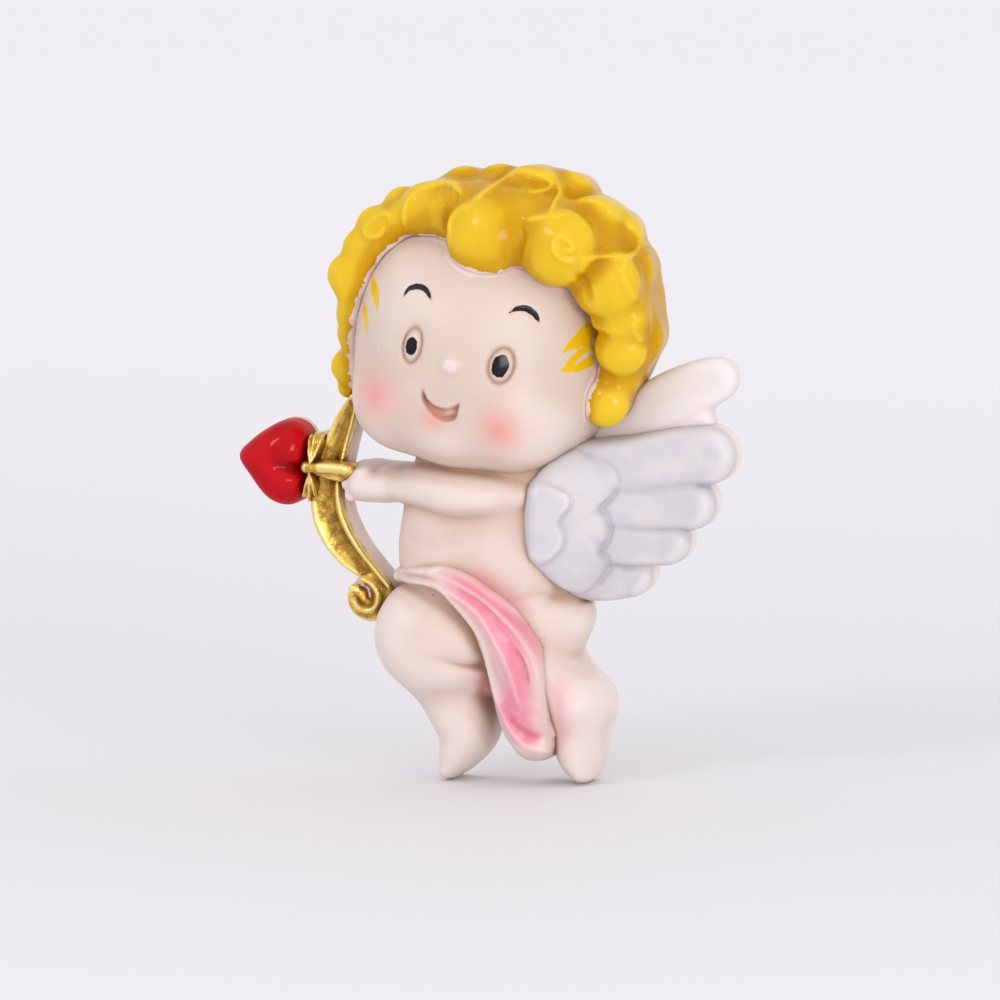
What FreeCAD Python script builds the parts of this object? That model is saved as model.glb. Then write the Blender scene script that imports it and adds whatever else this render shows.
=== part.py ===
import FreeCAD, Part
import math
import os

from FreeCAD import Vector

# Resin cherub archer, a flat-backed high-relief figurine, in millimetres.
# +Z is up, the front faces -Y, and the flat back face lies in the plane y = BACK_Y.
# "Depth" is the distance in front of that back face. Left and right are the cherub's own.
# Origin: on the ground under the middle of the bounding box.

# ---- driving dimensions -------------------------------------------------------------------
BACK_Y = 9.0  # the flat back; the furthest point in front of it, the tip of the nose, is at a depth of 18.5
GLUE_GAP = 0.06  # film of glue round a peg or the magnet, on the radius
PEG_RADIUS = 1.2  # cast-on pegs that locate one casting in the next
NECK_PEG_RADIUS = 1.6
SHAFT_RADIUS = 0.95  # brass-coloured arrow rod, which also pins heart, bow and hand together
SHAFT_LENGTH = 9.6
SHAFT_DEPTH = 5.6
SHAFT_HEIGHT = 34.6
MAGNET_RADIUS = 8.0
MAGNET_THICKNESS = 3.0
MAGNET_CENTRE = (-1.0, 47.5)  # x, z
NOSE_CENTRE = (-1.2, 17.4, 48.2)  # x, depth, z
NOSE_RADIUS = 1.1

CROWN_ANGLES = (0, 24, 45, 62, 76, 86)  # degrees round a dome's quarter ellipse
END_ANGLES = (35, 60, 80)  # degrees round a limb's rounded end
ARCH_POINTS = 9
WALL_SHARE = 0.35  # straight part of a limb's side, as a share of its depth
POST_UNDERCUT = 0.15  # how much narrower a curl's post gets per millimetre of depth
BEHIND = 0.4  # how far shapes are first made past the back plane, so that the trim leaves a true plane
SLACK = 60.0  # half-size of the boxes that trim shapes


# ---- shape helpers ------------------------------------------------------------------------
def at(x, depth, z):
    """The point depth millimetres in front of the back face."""
    return Vector(x, BACK_Y - depth, z)


def closed_curve(points):
    curve = Part.BSplineCurve()
    curve.interpolate(Points=points, PeriodicFlag=True)
    return Part.Wire(curve.toShape())


def dome(plan, wall, front, lean=(0.0, 0.0)):
    """A smooth closed plan with straight sides up to depth wall, then a crown up to depth front.

    lean moves the top of the crown, in x and z."""
    middle_x = sum(x for x, z in plan) / len(plan)
    middle_z = sum(z for x, z in plan) / len(plan)

    def section(depth, size, shift):
        centre_x = middle_x + lean[0] * shift
        centre_z = middle_z + lean[1] * shift
        return closed_curve(
            [at(centre_x + (x - middle_x) * size, depth, centre_z + (z - middle_z) * size) for x, z in plan]
        )

    sections = [section(-BEHIND, 1.0, 0.0)]
    for degrees in CROWN_ANGLES:
        rise = math.sin(math.radians(degrees))
        sections.append(section(wall + (front - wall) * rise, math.cos(math.radians(degrees)), rise))
    return Part.makeLoft(sections, True, False)


def arch(x, z, heading, half_width, depth, squareness):
    """The section across a limb: flat behind, straight up the sides, round on top."""
    across = Vector(heading.z, 0, -heading.x) * half_width
    wall = depth * WALL_SHARE
    crown = []
    for i in range(ARCH_POINTS):
        angle = math.pi * i / (ARCH_POINTS - 1)
        side = math.copysign(abs(math.cos(angle)) ** (2 / squareness), math.cos(angle))
        rise = abs(math.sin(angle)) ** (2 / squareness)
        crown.append(at(x, wall + (depth - wall) * rise, z) + across * side)
    foot, far_foot = at(x, -BEHIND, z) + across, at(x, -BEHIND, z) - across
    top = Part.BSplineCurve()
    top.interpolate(Points=crown, InitialTangent=Vector(0, -1, 0), FinalTangent=Vector(0, 1, 0))
    return Part.Wire(
        [
            Part.makeLine(foot, crown[0]),
            top.toShape(),
            Part.makeLine(crown[-1], far_foot),
            Part.makeLine(far_foot, foot),
        ]
    )


def limb(path, squareness=2.5):
    """A solid with round ends that follows a path of (x, z, half width, depth) stations."""
    spots = [Vector(x, 0, z) for x, z, width, depth in path]
    headings = []
    for i in range(len(spots)):
        before, after = spots[max(i - 1, 0)], spots[min(i + 1, len(spots) - 1)]
        headings.append((after - before).normalize())

    def end_cap(index, sign):
        """Sections that close the limb with a round end, from the station outwards."""
        x, z, width, depth = path[index]
        heading = headings[index]
        cap = []
        for degrees in END_ANGLES:
            out = heading * (sign * width * math.sin(math.radians(degrees)))
            size = math.cos(math.radians(degrees))
            cap.append(arch(x + out.x, z + out.z, heading, width * size, depth * math.sqrt(size), squareness))
        return cap

    stations = [arch(x, z, h, width, depth, squareness) for (x, z, width, depth), h in zip(path, headings)]
    return Part.makeLoft(end_cap(0, -1)[::-1] + stations + end_cap(-1, 1), True, False)


def gumdrop(x, z, depth, radius):
    """A ball centred at depth, on a post that narrows slightly towards the back plane."""
    foot = at(x, 0, z)
    shoulder = at(x, depth, z)
    edge = Vector(radius, 0, 0)
    narrow_edge = Vector(radius - POST_UNDERCUT * depth, 0, 0)
    halfway = Vector(radius * math.sqrt(0.5), -radius * math.sqrt(0.5), 0)
    tip = shoulder + Vector(0, -radius, 0)
    profile = Part.Wire(
        [
            Part.makeLine(foot, foot + narrow_edge),
            Part.makeLine(foot + narrow_edge, shoulder + edge),
            Part.Arc(shoulder + edge, shoulder + halfway, tip).toShape(),
            Part.makeLine(tip, foot),
        ]
    )
    return Part.Face(profile).revolve(foot, Vector(0, 1, 0), 360)


def peg(x, depth, z, direction, length, radius=PEG_RADIUS, play=0.0):
    return Part.makeCylinder(radius + play, length + play, at(x, depth, z), direction)


def fused(shapes):
    return shapes[0].multiFuse(shapes[1:]) if len(shapes) > 1 else shapes[0]


def less(shape, *others):
    """shape with the others taken away, keeping its one main piece and none of the slivers."""
    for other in others:
        shape = shape.cut(other)
    return max(shape.Solids, key=lambda solid: solid.Volume)


def flat_backed(shape):
    """The shape without what lies behind the back plane or below the ground."""
    behind = Part.makeBox(2 * SLACK, SLACK, 4 * SLACK, Vector(-SLACK, BACK_Y, -2 * SLACK))
    below = Part.makeBox(2 * SLACK, 2 * SLACK, SLACK, Vector(-SLACK, -SLACK, -SLACK))
    return shape.cut(behind).cut(below)


# ---- skin: trunk, legs, arm and head ------------------------------------------------------
def trunk_shape():
    torso = limb(
        [
            (3.8, 13.6, 4.8, 8.0),
            (2.6, 17.0, 7.6, 10.0),
            (0.4, 21.0, 9.0, 10.8),
            (0.3, 25.5, 9.5, 11.2),
            (1.0, 30.0, 9.3, 10.6),
            (1.4, 34.0, 8.8, 9.6),
            (1.0, 38.0, 6.8, 8.4),
        ],
        squareness=2.4,
    )
    seat = gumdrop(7.6, 18.6, 3.5, 3.6)
    return torso.fuse(seat)


def right_leg_shape():
    thigh = dome(
        [
            (-13.0, 17.2), (-12.6, 14.2), (-10.4, 11.4), (-6.4, 9.4), (-1.0, 10.0),
            (1.8, 13.0), (1.4, 17.6), (-1.6, 21.0), (-6.0, 22.2), (-9.8, 21.6), (-12.0, 19.6),
        ],
        wall=5.0,
        front=12.2,
        lean=(-1.0, 0.4),
    )
    calf = limb(
        [
            (-5.6, 13.0, 4.4, 8.6),
            (-3.7, 8.8, 3.9, 9.0),
            (-3.1, 6.0, 3.3, 8.6),
            (-3.9, 3.2, 2.5, 8.2),
            (-4.5, 1.1, 1.7, 7.8),
        ]
    )
    return thigh.fuse(calf)


def left_leg_shape():
    thigh = limb(
        [
            (4.6, 15.6, 3.4, 9.6),
            (7.4, 13.6, 3.8, 10.0),
            (10.2, 10.6, 3.5, 9.4),
        ]
    )
    calf = limb(
        [
            (10.2, 10.4, 3.4, 9.0),
            (10.2, 6.8, 3.2, 8.6),
            (10.2, 3.2, 2.4, 8.2),
            (10.6, 1.0, 1.5, 7.8),
        ]
    )
    return thigh.fuse(calf)


def left_arm_shape():
    return limb(
        [
            (-14.0, 33.7, 2.5, 8.4),
            (-11.6, 33.4, 2.3, 8.8),
            (-9.2, 33.4, 2.2, 10.0),
            (-6.0, 33.5, 2.9, 12.0),
            (-2.6, 33.1, 3.5, 13.2),
            (1.2, 32.9, 3.4, 13.2),
            (5.2, 33.0, 2.8, 12.0),
        ],
        squareness=2.3,
    )


def head_shape():
    skull = dome(
        [
            (-15.1, 44.6), (-14.3, 40.4), (-11.4, 37.9), (-6.3, 36.4), (-0.7, 35.5), (4.8, 35.3), (9.4, 37.2),
            (12.4, 40.6), (13.4, 46.0), (13.0, 52.0), (11.0, 57.2), (7.0, 60.8), (1.5, 62.6), (-4.2, 62.4),
            (-9.2, 60.8), (-12.8, 57.8), (-14.6, 54.0), (-15.3, 49.6),
        ],
        wall=3.5,
        front=18.0,
        lean=(-0.6, -0.8),
    )
    nose = Part.makeSphere(NOSE_RADIUS, at(*NOSE_CENTRE))
    return skull.fuse(nose)


# ---- hair ---------------------------------------------------------------------------------
# Each curl is x, z, depth of its centre, radius.
FRONT_CURLS = (
    (-6.0, 64.0, 8.0, 3.6),
    (1.6, 62.2, 11.5, 4.3),
    (10.0, 61.0, 11.5, 4.1),
    (14.6, 57.0, 9.5, 3.8),
)
CROWN_CURLS = (
    (-3.9, 66.0, 4.0, 2.8),
    (1.1, 66.2, 4.0, 3.3),
    (5.9, 66.7, 7.0, 3.4),
    (9.0, 65.2, 4.0, 3.1),
    (12.9, 61.8, 6.5, 3.4),
)
RIGHT_TEMPLE_CURLS = (
    (-9.0, 63.2, 4.0, 2.6),
    (-11.7, 61.8, 5.0, 2.7),
    (-13.8, 59.6, 4.5, 2.4),
    (-15.3, 56.8, 4.0, 2.5),
    (-15.6, 54.0, 3.6, 2.0),
    (-15.7, 52.0, 3.6, 1.7),
    (-16.0, 50.2, 4.0, 1.7),
    (-16.2, 48.0, 3.6, 1.7),
    (-16.6, 45.8, 4.0, 2.0),
    (-17.0, 43.6, 3.6, 1.3),
)
LEFT_TEMPLE_CURLS = (
    (15.2, 58.6, 4.0, 2.9),
    (15.6, 55.2, 3.0, 2.7),
    (14.8, 53.2, 8.5, 3.3),
    (16.4, 50.8, 3.5, 2.9),
    (14.6, 49.6, 8.0, 3.1),
    (15.6, 47.6, 3.0, 2.5),
    (14.2, 46.2, 6.0, 2.8),
    (13.4, 42.7, 6.6, 2.8),
)


def hair_shape():
    curls = FRONT_CURLS + CROWN_CURLS + RIGHT_TEMPLE_CURLS + LEFT_TEMPLE_CURLS
    return fused([gumdrop(x, z, depth, radius) for x, z, depth, radius in curls])


# ---- drape --------------------------------------------------------------------------------
def drape_shape():
    return limb(
        [
            (-9.4, 22.8, 0.9, 10.0),
            (-5.2, 23.6, 1.5, 12.6),
            (-1.6, 22.4, 2.0, 13.8),
            (1.6, 19.4, 2.5, 14.0),
            (3.2, 16.4, 3.1, 13.4),
            (4.3, 13.7, 3.6, 12.6),
            (4.8, 10.6, 3.8, 11.6),
            (5.0, 7.4, 3.6, 10.6),
            (5.6, 5.2, 2.8, 9.8),
        ],
        squareness=2.6,
    )


# ---- wings --------------------------------------------------------------------------------
def left_wing_shape():
    feathers = dome(
        [
            (5.6, 32.0), (7.4, 35.6), (10.6, 37.8), (15.8, 39.2), (22.0, 40.1), (26.2, 39.9), (27.9, 38.0),
            (27.2, 35.8), (25.6, 34.2), (26.0, 32.2), (25.2, 30.2), (23.1, 28.8), (22.6, 27.2), (21.0, 25.4),
            (18.3, 24.2), (17.8, 22.6), (16.0, 21.0), (12.6, 20.7), (9.2, 21.6), (6.8, 24.4), (5.4, 28.0),
        ],
        wall=3.0,
        front=5.6,
    )
    coverts = dome(
        [
            (9.9, 37.6), (7.3, 35.6), (5.4, 33.0), (4.8, 30.2), (5.2, 26.8), (7.1, 24.0), (9.4, 22.2),
            (12.0, 21.6), (13.8, 23.4), (13.9, 26.4), (14.4, 29.6), (14.9, 33.0), (14.6, 35.6), (12.6, 37.6),
        ],
        wall=7.0,
        front=10.4,
    )
    return coverts.fuse(feathers)


def right_wing_shape():
    return dome(
        [
            (11.0, 38.0), (13.4, 42.0), (17.0, 45.0), (21.4, 47.2), (25.2, 48.1), (27.2, 47.2), (27.6, 45.2),
            (26.4, 43.2), (25.4, 42.0), (26.6, 40.8), (26.0, 39.0), (22.0, 38.2), (16.0, 37.0),
        ],
        wall=2.0,
        front=3.2,
    )


# ---- bow and arrow ------------------------------------------------------------------------
def bow_shape():
    stave = limb(
        [
            (-15.8, 42.2, 0.6, 4.8),
            (-16.7, 39.9, 1.25, 5.0),
            (-17.7, 37.0, 1.5, 5.2),
            (-18.7, 33.2, 1.65, 5.4),
            (-18.5, 30.0, 1.9, 5.2),
            (-17.6, 27.6, 1.85, 5.0),
            (-16.1, 25.3, 1.6, 5.0),
            (-14.4, 23.3, 1.5, 5.0),
            (-12.8, 21.4, 1.4, 5.0),
        ],
        squareness=5.0,
    )
    scroll = gumdrop(-13.9, 20.2, 2.6, 2.7)
    return stave.fuse(scroll)


def heart_shape():
    return dome(
        [
            (-29.0, 35.7), (-27.4, 38.0), (-24.8, 39.6), (-22.2, 39.2), (-20.9, 37.4), (-21.6, 35.0),
            (-21.4, 32.8), (-22.4, 30.8), (-24.8, 30.4), (-27.2, 32.4),
        ],
        wall=3.0,
        front=7.2,
    )


def ferrule_shape():
    return dome(
        [
            (-22.0, 31.0), (-20.6, 31.4), (-19.8, 33.2), (-19.6, 35.4), (-19.3, 37.4), (-20.4, 38.4),
            (-21.2, 37.0), (-21.4, 34.8), (-22.0, 33.0),
        ],
        wall=5.0,
        front=6.8,
    )


def magnet_shape(play=0.0):
    x, z = MAGNET_CENTRE
    return Part.makeCylinder(MAGNET_RADIUS + play, MAGNET_THICKNESS + play, at(x, 0, z), Vector(0, -1, 0))


# ---- assembly -----------------------------------------------------------------------------
# Each casting is trimmed to what its neighbours leave, so that glued faces meet and nothing overlaps.
UP, RIGHTWARDS, FORWARDS = Vector(0, 0, 1), Vector(1, 0, 0), Vector(0, -1, 0)
# Pegs: x, depth, z of the root, direction, length and radius.
NECK_PEG = (0.0, 5.5, 33.0, UP, 8.0, NECK_PEG_RADIUS)
ARM_PEG = (1.0, 6.5, 32.9, FORWARDS, 4.6, PEG_RADIUS)
RIGHT_LEG_PEG = (-4.6, 6.0, 17.6, FORWARDS, 4.8, PEG_RADIUS)
LEFT_LEG_PEG = (8.8, 4.0, 11.6, UP, 6.0, PEG_RADIUS)
WING_PEG = (7.0, 3.6, 29.0, RIGHTWARDS, 6.0, PEG_RADIUS)
SHAFT = (-24.0, SHAFT_DEPTH, SHAFT_HEIGHT, RIGHTWARDS, SHAFT_LENGTH, SHAFT_RADIUS)


def build():
    shaft = peg(*SHAFT)
    shaft_hole = peg(*SHAFT, play=GLUE_GAP)

    head = flat_backed(head_shape())
    trunk = less(flat_backed(trunk_shape()), head)
    ferrule = less(flat_backed(ferrule_shape()), shaft_hole)
    bow = less(flat_backed(bow_shape()), head, shaft_hole, ferrule)
    right_leg = less(flat_backed(right_leg_shape()), trunk, bow)
    left_leg = less(flat_backed(left_leg_shape()), trunk, right_leg)
    left_wing = less(flat_backed(left_wing_shape()), trunk, head, left_leg)
    left_arm = less(flat_backed(left_arm_shape()), trunk, head, left_wing, bow)
    drape = less(flat_backed(drape_shape()), trunk, right_leg, left_leg, bow)
    hair = less(flat_backed(hair_shape()), head, left_wing, trunk, bow)
    right_wing = less(flat_backed(right_wing_shape()), left_wing, hair, head)
    heart = less(flat_backed(heart_shape()), bow, ferrule, shaft_hole)

    trunk = trunk.fuse(peg(*NECK_PEG))
    head = less(head, peg(*NECK_PEG, play=GLUE_GAP), magnet_shape(play=GLUE_GAP))
    left_arm = less(left_arm.fuse(peg(*ARM_PEG)), shaft_hole)
    right_leg = right_leg.fuse(peg(*RIGHT_LEG_PEG))
    left_leg = left_leg.fuse(peg(*LEFT_LEG_PEG))
    left_wing = left_wing.fuse(peg(*WING_PEG))
    sockets = [peg(*root, play=GLUE_GAP) for root in (ARM_PEG, RIGHT_LEG_PEG, LEFT_LEG_PEG, WING_PEG)]
    trunk = less(trunk, *sockets)

    return {
        "head": head,
        "hair": hair,
        "trunk": trunk,
        "left_arm": left_arm,
        "right_leg": right_leg,
        "left_leg": left_leg,
        "drape": drape,
        "left_wing": left_wing,
        "right_wing": right_wing,
        "bow": bow,
        "heart_arrowhead": heart,
        "arrow_ferrule": ferrule,
        "arrow_shaft": shaft,
        "magnet": magnet_shape(),
    }


os.makedirs("parts", exist_ok=True)
for name, shape in build().items():
    shape.exportStep(f"parts/{name}.step")
    print(f"{name}: {len(shape.Solids)} solid, valid {shape.isValid()}, {shape.Volume:.0f} mm3")
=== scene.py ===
import functools
import math

import bpy
import numpy as np
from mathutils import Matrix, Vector


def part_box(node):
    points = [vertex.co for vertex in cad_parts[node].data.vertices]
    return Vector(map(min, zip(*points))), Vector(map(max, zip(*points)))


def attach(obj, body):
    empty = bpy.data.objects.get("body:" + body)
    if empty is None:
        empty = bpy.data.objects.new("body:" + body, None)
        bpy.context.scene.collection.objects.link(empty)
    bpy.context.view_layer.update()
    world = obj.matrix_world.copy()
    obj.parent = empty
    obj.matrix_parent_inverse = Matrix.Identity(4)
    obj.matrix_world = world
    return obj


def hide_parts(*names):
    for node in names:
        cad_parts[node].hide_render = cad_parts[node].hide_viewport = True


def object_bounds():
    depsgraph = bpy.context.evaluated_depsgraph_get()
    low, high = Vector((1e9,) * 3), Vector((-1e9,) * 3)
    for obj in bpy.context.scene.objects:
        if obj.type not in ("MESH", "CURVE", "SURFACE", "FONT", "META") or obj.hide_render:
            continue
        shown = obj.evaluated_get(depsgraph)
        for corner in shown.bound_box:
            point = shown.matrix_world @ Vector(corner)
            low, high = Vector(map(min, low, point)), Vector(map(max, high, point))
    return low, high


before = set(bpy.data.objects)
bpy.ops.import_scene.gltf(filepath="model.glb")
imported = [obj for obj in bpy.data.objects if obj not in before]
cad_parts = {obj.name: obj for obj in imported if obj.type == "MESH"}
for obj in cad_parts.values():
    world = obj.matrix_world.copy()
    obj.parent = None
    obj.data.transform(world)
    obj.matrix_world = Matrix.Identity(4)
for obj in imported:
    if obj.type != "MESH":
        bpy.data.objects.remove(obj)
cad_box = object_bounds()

# A painted resin cherub archer, sculpted as high relief on a flat back.
#
# Sculpting works in millimetres on (x, depth, z): x to the viewer's right, z up, and depth forwards from the
# flat back. Each shape is a field on a grid of points, negative inside, and becomes a mesh at the end.

MM = 0.001
BACK_Y = cad_box[1][1] / MM  # the flat back, from the frame
BODY = "root"
COARSER = 1.0
LEAST_SLOPE = 0.06  # below this a field counts as flat


# ---- grids and fields ----
class Block:
    """A box-shaped grid of points. Maps have shape (x, z) and fields (x, depth, z)."""

    def __init__(self, low, high, step):
        step *= COARSER
        self.steps = [step] * 3
        spans = zip(low, high)
        self.axes = [np.arange(a - 2.5 * step, b + 3 * step, step, dtype=np.float32) for a, b in spans]
        self.x = self.axes[0][:, None]
        self.z = self.axes[2][None, :]
        self.depth = self.axes[1][None, :, None]


def lift(a_map):
    """A map over x and z, ready to combine with a field."""
    return a_map[:, None, :] if isinstance(a_map, np.ndarray) else a_map


def union(a, b, fillet):
    mix = np.clip(0.5 + 0.5 * (b - a) / fillet, 0, 1)
    return b + (a - b) * mix - fillet * mix * (1 - mix)


def cut(a, b, fillet):
    """The overlap of a and b, with its edge rounded."""
    return -union(-a, -b, fillet)


def all_of(fields, fillet):
    whole = fields[0]
    for field in fields[1:]:
        whole = union(whole, field, fillet)
    return whole


def as_distance(block, field):
    """Rescales a field so that it grows by about 1 per millimetre near its surface.

    Each point takes the steepest slope beside it, which bridges the kink along a form's middle."""
    slopes = np.gradient(field, *block.steps)
    slope = np.sqrt(sum(s * s for s in slopes))
    for axis in (0, 2):
        slope = np.maximum(slope, np.maximum(np.roll(slope, 1, axis), np.roll(slope, -1, axis)))
    return field / np.maximum(slope, LEAST_SLOPE)


def smoothstep(low, high, value):
    t = np.clip((value - low) / (high - low), 0, 1)
    return t * t * (3 - 2 * t)


# ---- curves ----
def catmull_rom(points, per_span=10, closed=False):
    """A smooth curve through rows of numbers, as densely spaced rows."""
    rows = np.array(points, dtype=np.float64)
    if closed:
        rows = np.vstack([rows[-1], rows, rows[0], rows[1]])
    else:
        rows = np.vstack([2 * rows[0] - rows[1], rows, 2 * rows[-1] - rows[-2]])
    t = np.linspace(0, 1, per_span, endpoint=False)[:, None]
    spans = []
    for a, b, c, d in zip(rows[:-3], rows[1:-2], rows[2:-1], rows[3:]):
        bend = (2 * a - 5 * b + 4 * c - d) * t**2 + (3 * b - a - 3 * c + d) * t**3
        spans.append(0.5 * (2 * b + (c - a) * t + bend))
    curve = np.vstack(spans)
    return curve if closed else np.vstack([curve, rows[-2]])


class Along:
    """Where each (x, z) lies against a curve: distance, share of the way along, side, and other columns."""

    def __init__(self, block, rows, measure_by_width=False):
        shape = np.broadcast_shapes(block.x.shape, block.z.shape)
        best = np.full(shape, np.inf)
        self.distance, self.share, self.side, *self.values = np.zeros((rows.shape[1] + 1, *shape))
        lengths = np.hypot(*(rows[1:, :2] - rows[:-1, :2]).T)
        starts = np.concatenate([[0], np.cumsum(lengths)])
        for i, length in enumerate(lengths):
            (x0, z0), (x1, z1) = rows[i, :2], rows[i + 1, :2]
            ux, uz = (x1 - x0) / length, (z1 - z0) / length
            dx, dz = block.x - x0, block.z - z0
            t = np.clip((dx * ux + dz * uz) / length, 0, 1)
            gap = np.hypot(dx - t * length * ux, dz - t * length * uz)
            here = [rows[i, c] + (rows[i + 1, c] - rows[i, c]) * t for c in range(2, rows.shape[1])]
            score = gap / here[0] if measure_by_width else gap
            nearer = score < best
            best = np.where(nearer, score, best)
            self.distance = np.where(nearer, gap, self.distance)
            self.share = np.where(nearer, (starts[i] + t * length) / starts[-1], self.share)
            self.side = np.where(nearer, dx * uz - dz * ux, self.side)
            self.values = [np.where(nearer, new, old) for new, old in zip(here, self.values)]


def stroke(block, points, width, tapered=True):
    """A soft line over x and z: 1 along the curve, fading to 0 over width, and thinning towards its ends."""
    line = Along(block, catmull_rom(points))
    fade = np.exp(-((line.distance / width) ** 2))
    if tapered:
        fade = fade * np.clip(np.sin(np.pi * np.clip(line.share, 0.04, 0.96)) * 1.6, 0, 1)
    return fade


# ---- relief shapes ----
def relief(block, share, wall, top, squareness=2.0):
    """Upright sides up to depth wall, then a crown up to top. share is 0 in the middle and 1 at the edge."""
    crown = np.clip((block.depth - lift(wall)) / lift(top - wall), 0, None)
    field = (lift(share) ** squareness + crown**squareness) ** (1 / squareness) - 1
    return as_distance(block, field.astype(np.float32))


def plan_share(block, centre, outline):
    """How far out each (x, z) is from centre, as a share of the way to a smooth closed outline."""
    dense = catmull_rom(outline, closed=True) - np.array(centre)
    angles = np.arctan2(dense[:, 1], dense[:, 0])
    order = np.argsort(angles)
    dx, dz = block.x - centre[0], block.z - centre[1]
    reaches = np.hypot(*dense.T)[order]
    return np.hypot(dx, dz) / np.interp(np.arctan2(dz, dx), angles[order], reaches, period=2 * np.pi)


def dome(block, centre, outline, wall, top, squareness=2.0):
    return relief(block, plan_share(block, centre, outline), wall, top, squareness)


def limb(block, stations, squareness=2.4):
    """A form along stations of x, z, half width, depth of its wall and depth of its top."""
    path = Along(block, catmull_rom(stations), measure_by_width=True)
    width, wall, top = path.values
    return relief(block, path.distance / width, wall, top, squareness)


def ball(block, x, z, depth, radius, undercut=0.0, flatness=1.0):
    """A ball with its front pressed in by flatness, on a post that undercut narrows towards the back."""
    behind = np.clip(depth - block.depth, 0, None)
    ahead = np.clip(block.depth - depth, 0, None) / flatness
    across = lift(np.hypot(block.x - x, block.z - z))
    return (np.sqrt(across**2 + ahead**2) - radius + undercut * behind).astype(np.float32)


def slab(block, plan_distance, top, fillet):
    """A flat-topped form with rounded edges, from the back up to depth top."""
    return cut(lift(plan_distance), block.depth - lift(top), fillet)


def press(block, field, pattern, from_depth=1.5):
    """Presses a pattern over x and z into a field's front, or raises the front where it is negative."""
    front = smoothstep(from_depth, from_depth + 1.5, block.depth)
    return field + lift(pattern) * front


# ---- meshes ----
CORNERS = np.array([(i, j, k) for i in (0, 1) for j in (0, 1) for k in (0, 1)])
EDGES = [(a, b) for a in range(8) for b in range(a) if np.abs(CORNERS[a] - CORNERS[b]).sum() == 1]


def surface_net(field):
    """Vertices in grid units, one per cell that the surface crosses, and the outward quads between them."""
    inside = field < 0
    counted = np.zeros(np.array(field.shape) - 1, dtype=np.int8)
    for corner in CORNERS:
        counted += inside[tuple(slice(c, c - 1 or None) for c in corner)]
    cells = np.argwhere((counted > 0) & (counted < 8))
    values = np.stack([field[tuple((cells + corner).T)] for corner in CORNERS], axis=1)
    total = np.zeros((len(cells), 3))
    crossings = np.zeros(len(cells))
    for a, b in EDGES:
        crossed = (values[:, a] < 0) != (values[:, b] < 0)
        span = np.where(crossed, values[:, a] - values[:, b], 1)
        t = np.where(crossed, values[:, a] / span, 0)[:, None]
        total += crossed[:, None] * (CORNERS[a] + (CORNERS[b] - CORNERS[a]) * t)
        crossings += crossed
    vertices = cells + total / crossings[:, None]

    number = np.full(counted.shape, -1, dtype=np.int64)
    number[tuple(cells.T)] = np.arange(len(cells))
    quads = []
    for axis in range(3):
        step, u, v = np.roll(np.eye(3, dtype=int), -axis, axis=0)
        low = np.argwhere(np.diff(inside, axis=axis))
        low = low[((low @ u) > 0) & ((low @ v) > 0)]
        low = low[np.all(low < np.array(counted.shape), axis=1)]
        ring = np.stack([number[tuple((low - shift).T)] for shift in (u + v, v, 0 * u, u)], axis=1)
        leaving = inside[tuple(low.T)] & ~inside[tuple((low + step).T)]
        quads.append(np.where(leaving[:, None], ring, ring[:, ::-1]))
    return vertices, np.vstack(quads)


def sample(grid, points):
    """The grid's value at points given in grid units, blended between its neighbours."""
    base = np.clip(np.floor(points).astype(int), 0, np.array(grid.shape) - 2)
    part = points - base
    result = np.zeros(len(points))
    for corner in CORNERS:
        weight = np.prod(np.where(corner, part, 1 - part), axis=1)
        result += weight * grid[tuple((base + corner).T)]
    return result


def settle(block, field, points, rounds=3):
    """Moves points along the field's slope until they lie on its surface."""
    slopes = np.gradient(field, *block.steps)
    steps = np.array(block.steps)
    for _ in range(rounds):
        slope = np.stack([sample(s, points) for s in slopes], axis=1)
        reach = -sample(field, points) / np.maximum((slope**2).sum(axis=1), 0.05)
        move = np.clip(slope * reach[:, None] / steps, -0.5, 0.5)
        points = points + move
    return points


def blurred(grid, cells, rounds=2):
    """The grid averaged over a few cells each way along each axis, by running sums."""
    for _ in range(rounds):
        for axis, reach in enumerate(cells):
            room = [(reach + 1, reach) if a == axis else (0, 0) for a in range(3)]
            sums = np.cumsum(np.pad(grid, room, mode="edge"), axis=axis, dtype=np.float64)
            ahead = np.take(sums, range(2 * reach + 1, sums.shape[axis]), axis=axis)
            behind = np.take(sums, range(0, sums.shape[axis] - 2 * reach - 1), axis=axis)
            grid = ((ahead - behind) / (2 * reach + 1)).astype(np.float32)
    return grid


def trimmed(block, field):
    """The field with the flat back and the ground cut through it."""
    return cut(cut(field, -block.depth, 0.12), lift(-block.z), 0.05)


# Marks that show hollows: how far the neighbourhood reaches, and the gain. The paints read them for painted
# shade in hollows, painted highlight on raised parts, and thin paint on edges.
HOLLOWS = {"hollow_broad": (2.4, 0.6), "hollow_wide": (0.9, 1.2), "hollow_fine": (0.4, 3.0)}


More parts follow.
